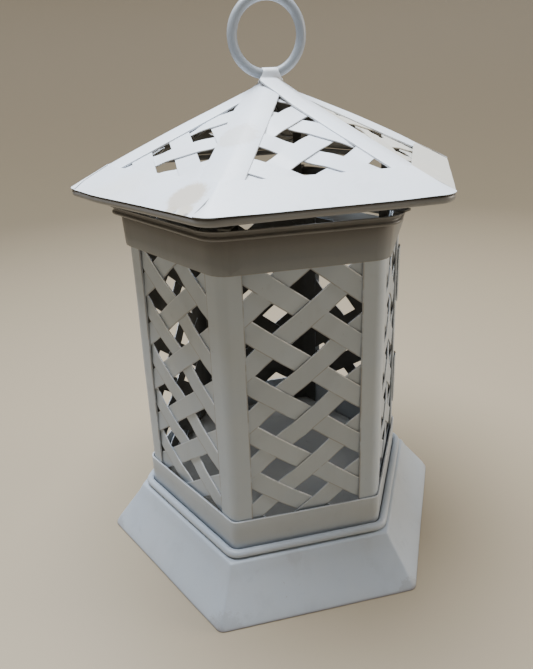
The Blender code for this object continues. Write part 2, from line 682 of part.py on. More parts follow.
def make_apex(roof_axis):
    """The carrying ring, and the strap over its lowest point in which it tips over."""
    wire_z = RING_Z - RING_RADIUS
    on_strap = Matrix.Translation((0, 0, wire_z)) @ Matrix.Rotation(RING_TURN, 4, "Z")
    bm = bmesh.new()
    rows = []
    turns = 32
    for step in range(turns):
        angle = 2 * pi * step / turns
        way = Vector((cos(angle), 0, sin(angle)))
        rows.append([way * (RING_RADIUS + RING_WIRE * cos(2 * pi * i / 8))
                     + Vector((0, RING_WIRE * sin(2 * pi * i / 8), RING_RADIUS)) for i in range(8)])
    loft(bm, rows)
    add_object("carry_ring", bm, PAINT, parent=roof_axis, matrix=on_strap, smooth=60)

    outer = STRAP_INNER + SHEET
    pitch = tan(ROOF_SLOPE)

    def rest(y, lift):
        return hip_height(0) + (GAP + lift) / cos(ROOF_SLOPE) - pitch * y

    arch = [radians(15 * step) for step in range(0, 13)]
    inside = [(STRAP_FOOT, rest(STRAP_FOOT, 0)), (STRAP_INNER, rest(STRAP_INNER, 0))]
    inside += [(STRAP_INNER * cos(a), wire_z + STRAP_INNER * sin(a)) for a in arch]
    inside += [(-STRAP_INNER, rest(STRAP_INNER, 0)), (-STRAP_FOOT, rest(STRAP_FOOT, 0))]
    outside = [(STRAP_FOOT, rest(STRAP_FOOT, SHEET)), (outer, rest(outer, SHEET))]
    outside += [(outer * cos(a), wire_z + outer * sin(a)) for a in arch]
    outside += [(-outer, rest(outer, SHEET)), (-STRAP_FOOT, rest(STRAP_FOOT, SHEET))]
    half = STRAP_WIDTH / 2
    bm = bmesh.new()
    prism(bm, inside + outside[::-1], lambda y, z: Vector((-half, y, z)), lambda y, z: Vector((half, y, z)))
    add_object("ring_strap", bm, PAINT, parent=roof_axis, matrix=Matrix.Rotation(RING_TURN, 4, "Z"),
               smooth=30)


def make_roof():
    roof_axis = add_empty("roof_axis", (*ROOF_SHIFT, 0), (0, 0, ROOF_TURN))
    make_eave(roof_axis)
    make_hips(roof_axis)
    make_roof_panels(roof_axis)
    make_legs(roof_axis)
    make_apex(roof_axis)


clear_scene()
make_base()
make_posts()
make_bands()
make_panels()
make_door()
make_roof()
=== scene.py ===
"""Looks of the hexagonal candle lantern: woven strips, folded sheet, rolled rims and worn white paint."""

import json
from math import atan, atan2, cos, hypot, pi, radians, sin, sqrt, tan

import bmesh
import bpy
from mathutils import Euler, Matrix, Vector, noise


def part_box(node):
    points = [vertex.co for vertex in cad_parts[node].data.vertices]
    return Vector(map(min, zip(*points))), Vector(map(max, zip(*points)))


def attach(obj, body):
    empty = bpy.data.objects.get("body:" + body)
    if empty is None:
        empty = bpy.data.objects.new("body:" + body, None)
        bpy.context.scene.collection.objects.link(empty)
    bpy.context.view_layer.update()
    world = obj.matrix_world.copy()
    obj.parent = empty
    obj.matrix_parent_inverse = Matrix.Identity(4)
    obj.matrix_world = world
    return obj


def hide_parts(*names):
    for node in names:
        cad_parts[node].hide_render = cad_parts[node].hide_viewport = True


# Vector noise starts from the clock unless it is given a seed.
noise.seed_set(1)

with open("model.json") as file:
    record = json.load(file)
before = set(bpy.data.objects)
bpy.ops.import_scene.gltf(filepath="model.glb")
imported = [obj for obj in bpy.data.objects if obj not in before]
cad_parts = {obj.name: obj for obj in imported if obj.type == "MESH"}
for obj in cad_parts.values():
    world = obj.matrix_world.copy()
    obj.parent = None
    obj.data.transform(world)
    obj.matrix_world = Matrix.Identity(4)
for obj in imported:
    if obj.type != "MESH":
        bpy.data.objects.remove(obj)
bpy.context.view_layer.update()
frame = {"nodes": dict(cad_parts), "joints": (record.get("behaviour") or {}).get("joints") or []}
nodes = frame["nodes"]
joints = {joint["name"]: joint for joint in frame["joints"]}

MM = 0.001
SIDES = 6
COS30 = cos(radians(30))
BODY = "lantern_body"
ROOF = "roof"
DOOR = "door"
RING = "ring"

FACES = {"front": -90, "front_right": -30, "back": 90, "back_left": 150, "front_left": -150}
CORNERS = {"right": 0, "back_right": 60, "back_left": 120, "left": 180, "front_left": 240, "front_right": 300}
ROOF_FACES = {"front": -90, "front_right": -30, "back_right": 30, "back": 90, "back_left": 150,
              "front_left": -150}

# Body, from the bands that wrap it. The foot's band is widest at its lower edge, the head's at its
# flared upper edge.
BAND_SKIN = 1.5 * MM
HEAD_FLARE = 2.1 * MM
foot_low, foot_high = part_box("bottom_band")
_, head_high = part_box("top_band")
BODY_TAPER = (foot_high.y - head_high.y + HEAD_FLARE) / (head_high.z - foot_low.z)
POST_FLANGE = 12.2 * MM
POST_RADIUS = 7.5 * MM
POST_SHEET = 0.95 * MM
RIM_WIDTH = 7.2 * MM

# Base.
BASE_SHOULDER = 91.8 * MM
BASE_SHOULDER_RADIUS = 2.2 * MM
BASE_LEDGE = 76 * MM
BASE_SHEET = 1.2 * MM
BASE_BEAD_CORNER = 9 * MM

# Lattice strips.
STRIP = 12.2 * MM
STRIP_SHEET = 0.75 * MM
STRIP_CHAMFER = 0.07 * MM
STRIP_RIM = 0.5 * MM
WEAVE_RISE = 0.42 * MM
BODY_PITCH = (21.4 * MM, 33.4 * MM)
BODY_HOLE_Z = 174.3 * MM
BODY_HOLES = {"front": (3.9 * MM, 0), "front_left": (0.8 * MM, -4.2 * MM)}
USUAL_HOLE = (2.5 * MM, 0)
PANEL_DEPTH = 1.8 * MM
PANEL_SIDE_INSET = 6.5 * MM
DOOR_LATTICE_DEPTH = 0.8 * MM

# Roof, in its own frame.
ROOF_TURN = radians(3.3)
ROOF_SLOPE = atan2(52.7, 105.8)
ROOF_SHIFT = Vector((joints["ring_tip"]["pos_m"][0], joints["ring_tip"]["pos_m"][1], 0))
ROOF_PITCH = (20.5 * MM, 29.0 * MM)
ROOF_HOLE = (-2.8 * MM, 61.2 * MM)
ROOF_PANEL_DEPTH = 2.8 * MM
HIP_DEPTH = 1.3 * MM
HIP_START = 10.0 * MM
HIP_SHEET = 0.9 * MM
STRAP_SHEET = 0.5 * MM
EAVE_CORNER = 12.0 * MM
EAVE_BAND = 24.2 * MM
EAVE_DEPTH = 0.4 * MM
EAVE_SHEET = 0.45 * MM
LAP_RISE = 0.47 * MM
ROOF_WEAVE_START = 16 * MM
ROOF_WEAVE_END = 104 * MM
ROOF_WEAVE_INSET = 5.6 * MM


# ---------------------------------------------------------------- frame helpers

def direction(degrees):
    """Horizontal unit vector."""
    return Vector((cos(radians(degrees)), sin(radians(degrees)), 0))


def body_apothem(z):
    """Distance from the axis to the outside of the posts' flat faces."""
    return foot_high.y - BAND_SKIN - BODY_TAPER * (z - foot_low.z)


ROOF_PLACE = Matrix.Translation(ROOF_SHIFT) @ Matrix.Rotation(ROOF_TURN, 4, "Z")


def roof_box(node):
    """Box of a node in the roof's own, turned frame."""
    back = ROOF_PLACE.inverted()
    points = [back @ vert.co for vert in nodes[node].data.vertices]
    low = Vector([min(point[i] for point in points) for i in range(3)])
    high = Vector([max(point[i] for point in points) for i in range(3)])
    return low, high


_, eave_high = roof_box("eave_band")
EAVE_APOTHEM = eave_high.y
EAVE_Z = eave_high.z - EAVE_BAND * sin(ROOF_SLOPE)
EAVE_RADIUS = EAVE_APOTHEM / COS30
ROOF_SLANT = EAVE_APOTHEM / cos(ROOF_SLOPE)


def face_matrix(normal, apothem, z, lean):
    """Frame of a face: X along it, Z up its slope, Y into the lantern; lean tips its top inwards."""
    rotation = Euler((-lean, 0, radians(normal + 90)), "XYZ").to_matrix().to_4x4()
    return Matrix.Translation(direction(normal) * apothem + Vector((0, 0, z))) @ rotation


def sheet_wander(point):
    """Slight unevenness of hand-worked sheet: one field for every piece, so that gaps stay gaps."""
    broad = noise.noise_vector(point * 14.0) * 0.35 * MM
    fine = noise.noise_vector(point * 55.0) * 0.07 * MM
    return broad + fine


def wander(bm, matrix=Matrix.Identity(4)):
    """Move a mesh's points by the sheet's unevenness; matrix takes them to the row frame."""
    for vert in bm.verts:
        point = matrix @ vert.co
        vert.co = point + sheet_wander(point)


# ---------------------------------------------------------------- materials

def node_tools(material):
    """Short-hands to add nodes and links to a material."""
    tree = material.node_tree

    def add(kind, **values):
        node = tree.nodes.new(kind)
        for key, value in values.items():
            if hasattr(node, key):
                setattr(node, key, value)
            else:
                node.inputs[key.replace("_", " ")].default_value = value
        return node

    def join(source, target):
        tree.links.new(source, target)

    return tree, add, join


def noise_mask(add, join, coords, scale, low, high, detail=5.0, roughness=0.6, stretch=(1, 1, 1)):
    """Noise between 0 and 1, with low and high as its lower and upper cut."""
    mapping = add("ShaderNodeMapping")
    mapping.inputs["Scale"].default_value = stretch
    join(coords, mapping.inputs["Vector"])
    texture = add("ShaderNodeTexNoise")
    texture.inputs["Scale"].default_value = scale
    texture.inputs["Detail"].default_value = detail
    texture.inputs["Roughness"].default_value = roughness
    join(mapping.outputs["Vector"], texture.inputs["Vector"])
    ramp = add("ShaderNodeMapRange")
    ramp.interpolation_type = "SMOOTHSTEP"
    ramp.inputs["From Min"].default_value = low
    ramp.inputs["From Max"].default_value = high
    join(texture.outputs["Fac"], ramp.inputs["Value"])
    return ramp.outputs["Result"]


def scaled(add, join, value, factor):
    """Value times a factor."""
    node = add("ShaderNodeMath", operation="MULTIPLY")
    node.inputs[1].default_value = factor
    join(value, node.inputs[0])
    return node.outputs["Value"]


def mix_colour(add, join, factor, under, over):
    """Blend from under to over; each is a socket or a plain colour."""
    node = add("ShaderNodeMix", data_type="RGBA")
    join(factor, node.inputs["Factor"])
    for value, socket in ((under, node.inputs[6]), (over, node.inputs[7])):
        if isinstance(value, bpy.types.NodeSocket):
            join(value, socket)
        else:
            socket.default_value = (*value, 1)
    return node.outputs[2]


def spot_mask(add, join, coords, centre, radius, ragged=0.5):
    """1 at centre, 0 beyond radius, with a ragged border."""
    reach = add("ShaderNodeVectorMath", operation="DISTANCE")
    join(coords, reach.inputs[0])
    reach.inputs[1].default_value = centre
    rag = add("ShaderNodeTexNoise")
    rag.inputs["Scale"].default_value = 6.0 / radius
    rag.inputs["Detail"].default_value = 9
    rag.inputs["Roughness"].default_value = 0.7
    join(coords, rag.inputs["Vector"])
    spread = add("ShaderNodeMath", operation="MULTIPLY_ADD")
    spread.inputs[1].default_value = radius * ragged * 2
    join(rag.outputs["Fac"], spread.inputs[0])
    join(reach.outputs["Value"], spread.inputs[2])
    mask = add("ShaderNodeMapRange")
    mask.interpolation_type = "SMOOTHSTEP"
    mask.inputs["From Min"].default_value = radius * (1 + ragged)
    mask.inputs["From Max"].default_value = radius * (0.65 + ragged)
    join(spread.outputs["Value"], mask.inputs["Value"])
    return mask.outputs["Result"]


def height_mask(add, join, coords, low, high):
    """0 below low, 1 above high."""
    parts = add("ShaderNodeSeparateXYZ")
    join(coords, parts.inputs["Vector"])
    mask = add("ShaderNodeMapRange")
    mask.interpolation_type = "SMOOTHSTEP"
    mask.inputs["From Min"].default_value = low
    mask.inputs["From Max"].default_value = high
    join(parts.outputs["Z"], mask.inputs["Value"])
    return mask.outputs["Result"]


def white_paint(name, colour, stain=0.35, chips=0.5, dirt=0.3, roughness=0.48, streaks=0.3, tone=0.0,
                spots=(), height_darkening=None, crevice_shade_and_grime=1.0, edge_highlight_and_shadow=0.0):
    """Aged white enamel on sheet metal: yellowing, rubbed dirt, runs, fine chips, and orange peel.

    tone is how far single strips differ, and the edge setting how far a painted highlight lightens upper
    edges and a painted shadow line mixed with rusty brown darkens lower ones.
    spots are (centre, radius, colour, strength, ragged). The height darkening is (low, high, colour,
    strength) of a darkening that thickens from low to high.
    """
    material = bpy.data.materials.new(name)
    material.use_nodes = True
    tree, add, join = node_tools(material)
    shader = tree.nodes["Principled BSDF"]
    coords = add("ShaderNodeTexCoord").outputs["Object"]

    cool = [colour[0] * 0.93, colour[1] * 0.96, colour[2] * 1.0]
    beige = [colour[0] * 0.95, colour[1] * 0.90, colour[2] * 0.80]
    grey = [colour[0] * 0.68, colour[1] * 0.68, colour[2] * 0.68]
    brown = [0.16, 0.125, 0.09]
    highlight = [0.90, 0.94, 1.0]
    shadow_and_rust = [0.25, 0.21, 0.18]

    cloud = noise_mask(add, join, coords, 26, 0.35, 0.7)
    shade = mix_colour(add, join, scaled(add, join, cloud, 0.7), colour, cool)
    if tone:
        strip = add("ShaderNodeAttribute", attribute_name="tone")
        shade = mix_colour(add, join, scaled(add, join, strip.outputs["Fac"], tone), shade, grey)
    # Painted highlight along upper edges and a painted shadow line with rust along lower edges, both in
    # patches.
    if edge_highlight_and_shadow:
        patchy = noise_mask(add, join, coords, 95, 0.3, 0.55, detail=4)
        for attribute, tint, strength in (("upper_edge", highlight, edge_highlight_and_shadow), ("lower_edge", shadow_and_rust, edge_highlight_and_shadow * 0.6)):
            line = add("ShaderNodeAttribute", attribute_name=attribute)
            both = add("ShaderNodeMath", operation="MULTIPLY")
            join(line.outputs["Fac"], both.inputs[0])
            join(patchy, both.inputs[1])
            shade = mix_colour(add, join, scaled(add, join, both.outputs["Value"], strength), shade, tint)
    yellowed = noise_mask(add, join, coords, 11, 0.52, 0.72, detail=7)
    shade = mix_colour(add, join, scaled(add, join, yellowed, stain), shade, beige)
    runs = noise_mask(add, join, coords, 60, 0.5, 0.72, stretch=(1, 1, 0.09))
    shade = mix_colour(add, join, scaled(add, join, runs, streaks * 0.5), shade, grey)
    rubbed = noise_mask(add, join, coords, 75, 0.56, 0.74, detail=8, roughness=0.72)
    shade = mix_colour(add, join, scaled(add, join, rubbed, dirt), shade, grey)
    # Darkening that thickens with height: on the head band painted shade under the eave with dirt, on the
    # base darker towards the bottom edge.
    if height_darkening:
        low, high, tint, strength = height_darkening
        rising = height_mask(add, join, coords, low, high)
        shade = mix_colour(add, join, scaled(add, join, rising, strength), shade, tint)

    # Painted shade mixed with grime in creases and between parts: ambient occlusion browns the paint where
    # surfaces close in.
    crevice_occlusion = add("ShaderNodeAmbientOcclusion")
    crevice_occlusion.samples = 6
    crevice_occlusion.inputs["Distance"].default_value = 3.0 * MM
    crevice_darkening = add("ShaderNodeMapRange")
    crevice_darkening.inputs["From Min"].default_value = 0.62
    crevice_darkening.inputs["From Max"].default_value = 0.1
    join(crevice_occlusion.outputs["AO"], crevice_darkening.inputs["Value"])
    shade = mix_colour(add, join, scaled(add, join, crevice_darkening.outputs["Result"], crevice_shade_and_grime), shade, brown)

    chipped = noise_mask(add, join, coords, 420, 0.71, 0.76, detail=3)
    shade = mix_colour(add, join, scaled(add, join, chipped, chips), shade, brown)
    for centre, radius, tint, strength, ragged in spots:
        spot = spot_mask(add, join, coords, centre, radius, ragged)
        shade = mix_colour(add, join, scaled(add, join, spot, strength), shade, tint)
    join(shade, shader.inputs["Base Color"])

    gloss = add("ShaderNodeMapRange")
    gloss.inputs["To Min"].default_value = roughness - 0.1
    gloss.inputs["To Max"].default_value = roughness + 0.14
    join(rubbed, gloss.inputs["Value"])
    join(gloss.outputs["Result"], shader.inputs["Roughness"])

    peel = noise_mask(add, join, coords, 900, 0.2, 0.8, detail=2)
    brush = noise_mask(add, join, coords, 240, 0.2, 0.8, detail=3, stretch=(1, 1, 0.15))
    height = add("ShaderNodeMath", operation="ADD")
    join(scaled(add, join, peel, 0.6), height.inputs[0])
    join(scaled(add, join, brush, 0.8), height.inputs[1])
    flaked = add("ShaderNodeMath", operation="SUBTRACT")
    join(height.outputs["Value"], flaked.inputs[0])
    join(scaled(add, join, chipped, 1.5), flaked.inputs[1])
    bump = add("ShaderNodeBump")
    bump.inputs["Strength"].default_value = 0.22
    bump.inputs["Distance"].default_value = 0.06 * MM
    join(flaked.outputs["Value"], bump.inputs["Height"])
    join(bump.outputs["Normal"], shader.inputs["Normal"])
    return material


def bare_steel(name, colour, roughness=0.4):
    """Dull steel with brown tarnish."""
    material = bpy.data.materials.new(name)
    material.use_nodes = True
    tree, add, join = node_tools(material)
    shader = tree.nodes["Principled BSDF"]
    shader.inputs["Metallic"].default_value = 0.85
    coords = add("ShaderNodeTexCoord").outputs["Object"]
    tarnish = noise_mask(add, join, coords, 500, 0.4, 0.7, detail=6)
    shade = mix_colour(add, join, scaled(add, join, tarnish, 0.8), colour, (0.14, 0.09, 0.06))
    join(shade, shader.inputs["Base Color"])
    gloss = add("ShaderNodeMapRange")
    gloss.inputs["To Min"].default_value = roughness - 0.1
    gloss.inputs["To Max"].default_value = roughness + 0.3
    join(tarnish, gloss.inputs["Value"])
    join(gloss.outputs["Result"], shader.inputs["Roughness"])
    bump = add("ShaderNodeBump")
    bump.inputs["Strength"].default_value = 0.3
    bump.inputs["Distance"].default_value = 0.05 * MM
    join(tarnish, bump.inputs["Height"])
    join(bump.outputs["Normal"], shader.inputs["Normal"])
    return material


def beside_corner(corner, apothem, along):
    """Point beside a corner of a hexagon, along the side that goes one way or the other from it."""
    way = direction(corner + (120 if along > 0 else -120))
    return direction(corner) * (apothem / COS30) + way * abs(along)


def roof_spot(corner, s, along, radius, tint, strength, ragged=0.5):
    """Spot on the roof, s up the slope from the eave's corner and along the eave from it."""
    apothem = EAVE_APOTHEM - s * cos(ROOF_SLOPE)
    height = EAVE_Z + s * sin(ROOF_SLOPE)
    centre = ROOF_PLACE @ (beside_corner(corner, apothem, along) + Vector((0, 0, height)))
    return centre, radius, tint, strength, ragged


CREAM = (0.55, 0.49, 0.40)
PUTTY = (0.62, 0.57, 0.48)
SMUDGE = (0.22, 0.20, 0.20)
ROOF_SPOTS = [
    roof_spot(240, 12 * MM, -17 * MM, 12 * MM, CREAM, 0.85, 0.3),
    roof_spot(240, 62 * MM, -4 * MM, 13 * MM, CREAM, 0.35),
    roof_spot(240, 2.5 * MM, -14 * MM, 5 * MM, PUTTY, 0.95, 0.9),
    roof_spot(240, 1.5 * MM, -23 * MM, 3.5 * MM, CREAM, 0.8, 1.2),
    roof_spot(240, 0.5 * MM, -12 * MM, 1.6 * MM, SMUDGE, 0.7, 1.2),
    roof_spot(240, 1.0 * MM, -20 * MM, 1.3 * MM, SMUDGE, 0.6, 1.2),
    # Painted warm light on the eave beside the right corner.
    roof_spot(0, 10 * MM, 12 * MM, 20 * MM, PUTTY, 0.6),
]


def base_spot(corner, share, along, radius, strength):
    """Smudge on the base's skirt, at a share of its height and along the face from a corner."""
    low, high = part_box("base_skirt")
    apothem = high.y - (high.y - BASE_SHOULDER) * share
    height = low.z + (high.z - low.z) * share
    return beside_corner(corner, apothem, along) + Vector((0, 0, height)), radius, SMUDGE, strength, 0.9


BASE_SPOTS = [
    base_spot(240, 0.0, 4 * MM, 13 * MM, 0.22),
    base_spot(240, 0.0, -6 * MM, 7 * MM, 0.2),
    base_spot(300, 0.0, -3 * MM, 10 * MM, 0.3),
    base_spot(300, 0.0, 0, 4 * MM, 0.4),
    base_spot(240, 0.0, 0, 4 * MM, 0.35),
    base_spot(180, 0.0, 3 * MM, 9 * MM, 0.22),
    base_spot(240, 0.93, 42 * MM, 6 * MM, 0.12),
    base_spot(0, 0.0, 0, 8 * MM, 0.25),
]
# The whole lantern wears one white paint. The roof's copy is its lit white; most copies below hold painted
# light and shade.
ROOF_WHITE = white_paint("roof_white", (0.80, 0.84, 0.90), stain=0.4, chips=0.15, dirt=0.35, streaks=0.3,
                         tone=0.12, spots=ROOF_SPOTS, crevice_shade_and_grime=0.6)
# The roof's front-right face: painted warm side light, dimmer and warmer than the lit roof.
ROOF_WARM_SIDE_LIGHT = white_paint("roof_warm_side_light", (0.66, 0.64, 0.58), stain=0.3, chips=0.2, dirt=0.25, streaks=0.2,
                         tone=0.12, crevice_shade_and_grime=0.5)
# Body, door and bottom band: the white in painted shade, blued against the warm bounce from the floor.
BODY_SHADED_WHITE = white_paint("body_shaded_white", (0.51, 0.575, 0.66), stain=0.3, chips=0.3, dirt=0.2, tone=0.3,
                         crevice_shade_and_grime=0.3, edge_highlight_and_shadow=0.95)
BODY_EDGE = white_paint("body_edge", (0.46, 0.46, 0.46), stain=0.6, chips=0.6, dirt=0.4, crevice_shade_and_grime=0.3)
DOOR_SHADED_WHITE = white_paint("door_shaded_white", (0.53, 0.57, 0.61), stain=0.3, chips=0.2, dirt=0.15, crevice_shade_and_grime=0.2)
BAND_SHADED_WHITE = white_paint("band_shaded_white", (0.48, 0.525, 0.58), stain=0.4, chips=0.25, dirt=0.25, crevice_shade_and_grime=0.1)
# Bevelled edges of the bottom band: painted highlight with chips.
BAND_EDGE_HIGHLIGHT = white_paint("band_edge_highlight", (0.75, 0.78, 0.82), stain=0.2, chips=0.5, dirt=0.3, crevice_shade_and_grime=0.3)
# Head band: painted shade under the eave with dirt; darker paint that darkens further towards its top.
HEAD_SHADE_AND_DIRT = white_paint("head_shade_and_dirt", (0.22, 0.235, 0.255), stain=0.5, chips=0.3, dirt=0.3, streaks=0.8,
                         height_darkening=(220 * MM, 239 * MM, (0.13, 0.115, 0.10), 0.75), crevice_shade_and_grime=0.3)
HEAD_EDGE = white_paint("head_edge", (0.26, 0.23, 0.20), stain=0.6, chips=0.8, dirt=0.5, crevice_shade_and_grime=0.3)
# Rims of the head and of the eave: the white in painted shade under the eave.
RIM_EAVE_SHADE = white_paint("rim_eave_shade", (0.18, 0.175, 0.17), stain=0.6, chips=0.7, dirt=0.5, crevice_shade_and_grime=0.5)
EAVE_RIM_SHADE = white_paint("eave_rim", (0.26, 0.262, 0.27), stain=0.5, chips=0.6, dirt=0.4, crevice_shade_and_grime=0.5)
# Base: the white in painted shade, blued like the body, and darker towards its bottom edge.
BASE_SHADED_WHITE = white_paint("base_shaded_white", (0.50, 0.555, 0.63), stain=0.2, chips=0.3, dirt=0.35, streaks=0.4,
                         crevice_shade_and_grime=0.1, spots=BASE_SPOTS, height_darkening=(1.9 * MM, 0.3 * MM, (0.24, 0.22, 0.23), 0.8))
BASE_EDGE = white_paint("base_edge", (0.30, 0.30, 0.33), stain=0.4, chips=0.9, dirt=0.7)
RING_GREY = white_paint("ring_grey", (0.34, 0.37, 0.41), stain=0.15, chips=0.3, dirt=0.25)
# Painted shade for faces that look into the lantern or down under the roof, and for the roof's legs.
INNER_SHADE = white_paint("inner_shade", (0.09, 0.09, 0.085), stain=0.3, chips=0.3, dirt=0.6, roughness=0.65)
# Floor plate inside the lantern: the white in painted shade.
INSIDE_FLOOR_SHADE = white_paint("inside_floor_shade", (0.30, 0.30, 0.29), stain=0.4, chips=0.5, dirt=0.5, roughness=0.6)
PIN_STEEL = bare_steel("pin_steel", (0.32, 0.30, 0.28))


# ---------------------------------------------------------------- mesh helpers

def faces_inwards(face):
    """Whether a face of the body looks at the lantern's axis."""
    middle = face.calc_center_median()
    return face.normal.dot(Vector((middle.x, middle.y, 0)).normalized()) < -0.6


def faces_down(face):
    """Whether a face of the roof looks down into the lantern."""
    return face.normal.z < -0.4


def add_piece(name, bm, body, materials, replaced=(), smooth=32, is_inside=None, turn_faces=True):
    """Turn a bmesh in the row frame into a piece; faces that are inside take the last material."""
    if turn_faces:
        bmesh.ops.recalc_face_normals(bm, faces=bm.faces)
    bm.normal_update()
    if is_inside:
        for face in bm.faces:
            if is_inside(face):
                face.material_index = len(materials) - 1
    mesh = bpy.data.meshes.new(name)
    bm.to_mesh(mesh)
    bm.free()
    for material in materials:
        mesh.materials.append(material)
    mesh.shade_smooth()
    mesh.set_sharp_from_angle(angle=radians(smooth))
    piece = bpy.data.objects.new(name, mesh)
    bpy.context.scene.collection.objects.link(piece)
    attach(piece, body)
    if replaced:
        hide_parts(*replaced)
    return piece


def slice_up(bm, spacing):
    """Cut a mesh along planes at a fixed spacing on X, Y and Z, so that it can bend a little."""
    for axis in range(3):
        normal = [0, 0, 0]
        normal[axis] = 1
        low = min(vert.co[axis] for vert in bm.verts)
        high = max(vert.co[axis] for vert in bm.verts)
        count = int((high - low) / spacing)
        for number in range(1, count + 1):
            place = [0, 0, 0]
            place[axis] = low + (high - low) * number / (count + 1)
            geometry = bm.verts[:] + bm.edges[:] + bm.faces[:]
            bmesh.ops.bisect_plane(bm, geom=geometry, plane_co=place, plane_no=normal, dist=1e-7)


def finished_copy(node, body, materials, edge=0.22 * MM, spacing=9 * MM, bend=True, smooth=32):
    """Rounded, slightly uneven copy of a CAD node, with its bevelled edges in the last material: paint wear,
    and on the bottom band a painted highlight with chips.
    """
    bm = bmesh.new()
    bm.from_mesh(nodes[node].data)
    bmesh.ops.remove_doubles(bm, verts=bm.verts, dist=1e-6)
    bmesh.ops.dissolve_limit(bm, angle_limit=radians(0.6), verts=bm.verts[:], edges=bm.edges[:])
    for face in bm.faces:
        face.material_index = 0
    sharp = [item for item in bm.edges if item.calc_face_angle(0) > radians(40)]
    bmesh.ops.bevel(bm, geom=sharp, offset=edge, offset_type="OFFSET", segments=2, profile=0.5,
                    affect="EDGES", material=len(materials) - 1, clamp_overlap=True)
    if spacing:
        slice_up(bm, spacing)
    if bend:
        wander(bm)
    return add_piece(node + "_sheet", bm, body, materials, (node,), smooth)


def loft(bm, loops, closed=True, cap=False, open_ends=False):
    """Skin loops of equal length; open_ends leaves each loop's last and first point unjoined."""
    rows = [[bm.verts.new(point) for point in loop] for loop in loops]
    count = len(rows[0])
    pairs = list(zip(rows, rows[1:]))
    if closed:
        pairs.append((rows[-1], rows[0]))
    for lower, upper in pairs:
        for i in range(count - 1 if open_ends else count):
            j = (i + 1) % count
            bm.faces.new((lower[i], lower[j], upper[j], upper[i]))
    if cap:
        bm.faces.new(rows[0])
        bm.faces.new(rows[-1])
    return rows


def hexagon_loop(apothem, corner, z, arc_steps=8, side_steps=12):
    """Points of a hexagon with round corners, counter-clockwise, with points along its sides."""
    points = []
    for side in range(SIDES):
        centre = direction(60 * side) * ((apothem - corner) / COS30)
        arc = []
        for step in range(arc_steps + 1):
            angle = 60 * side - 30 + 60 * step / arc_steps
            arc.append(centre + direction(angle) * corner + Vector((0, 0, z)))
        following = direction(60 * side + 60) * ((apothem - corner) / COS30)
        goal = following + direction(60 * side + 30) * corner + Vector((0, 0, z))
        points += arc
        points += [arc[-1].lerp(goal, step / side_steps) for step in range(1, side_steps)]
    return points


def spline(a, b, c, d, t):
    """Catmull-Rom value between b and c."""
    return 0.5 * (2 * b + (c - a) * t + (2 * a - 5 * b + 4 * c - d) * t * t
                  + (3 * b - a - 3 * c + d) * t * t * t)


def smooth_loop(points, steps=4):
    """Closed Catmull-Rom curve through points of any number of coordinates."""
    count = len(points)
    result = []
    for i in range(count):
        around = [points[(i + k) % count] for k in (-1, 0, 1, 2)]
        for step in range(steps):
            result.append(tuple(spline(*values, step / steps) for values in zip(*around)))
    return result


def hexagon_piece(name, section, body, materials, replaced, matrix=Matrix.Identity(4), smooth=40,
                  shape=None):
    """Closed section of (apothem, corner, z) carried round the hexagon, in the row frame."""
    bm = bmesh.new()
    loft(bm, [hexagon_loop(*point) for point in section])
    if shape:
        for vert in bm.verts:
            vert.co = shape(vert.co)
    wander(bm, matrix)
    return add_piece(name, bm, body, materials, replaced, smooth)


# ---------------------------------------------------------------- woven lattice

def crossing_height(t, crossings, reach):
    """Rise of a strip at t; crossings are (place, side), flat for reach on both sides of each."""
    if t <= crossings[0][0]:
        return crossings[0][1]
    for (t0, side0), (t1, side1) in zip(crossings, crossings[1:]):
        if t <= t1:
            span = t1 - t0 - 2 * reach
            share = min(max((t - t0 - reach) / span, 0), 1)
            share = share * share * (3 - 2 * share)
            return side0 + (side1 - side0) * share
    return crossings[-1][1]


def make_strip(start, along, length, crossings, depth, tone):
    """One flat strip from start in direction along; it rises and dips to pass the strips it crosses."""
    bm = bmesh.new()
    layers = [bm.verts.layers.float.new(attribute) for attribute in ("tone", "upper_edge", "lower_edge")]
    across = Vector((-along.y, along.x))
    half_w = STRIP / 2
    half_t = STRIP_SHEET / 2
    cut = STRIP_CHAMFER
    rim = STRIP_RIM
    section = [(-half_w, cut - half_t, -1), (cut - half_w, -half_t, -1), (rim - half_w, -half_t, -1),
               (1.4 * rim - half_w, -half_t, 0), (half_w - 1.4 * rim, -half_t, 0), (half_w - rim, -half_t, 1),
               (half_w - cut, -half_t, 1), (half_w, cut - half_t, 1), (half_w, half_t - cut, 1),
               (half_w - cut, half_t, 0), (cut - half_w, half_t, 0), (-half_w, half_t - cut, -1)]
    reach = half_w * 1.25
    stops = {0.0, length}
    for (t0, _), (t1, _) in zip(crossings, crossings[1:]):
        stops.update([t0, t0 + reach, t1 - reach])
        stops.update(t0 + reach + (t1 - t0 - 2 * reach) * k / 6 for k in range(1, 6))
    stops.add(crossings[-1][0])
    loops = []
    for t in sorted(stop for stop in stops if 0 <= stop <= length):
        rise = crossing_height(t, crossings, reach) * WEAVE_RISE
        middle = start + along * t
        loops.append([Vector((middle.x + across.x * x, depth - rise + y, middle.y + across.y * x))
                      for x, y, _ in section])
    rows = loft(bm, loops, closed=False, cap=True)
    tone_layer, upper_layer, lower_layer = layers
    # Upper edges take the painted highlight, stronger on strips that fall to the right, and lower edges the
    # painted shadow line with rust.
    for row in rows:
        for vert, (_, _, edge) in zip(row, section):
            vert[tone_layer] = tone
            vert[upper_layer] = max(edge, 0) * (1 if along.y < 0 else 0.4)
            vert[lower_layer] = max(-edge, 0)
    return bm


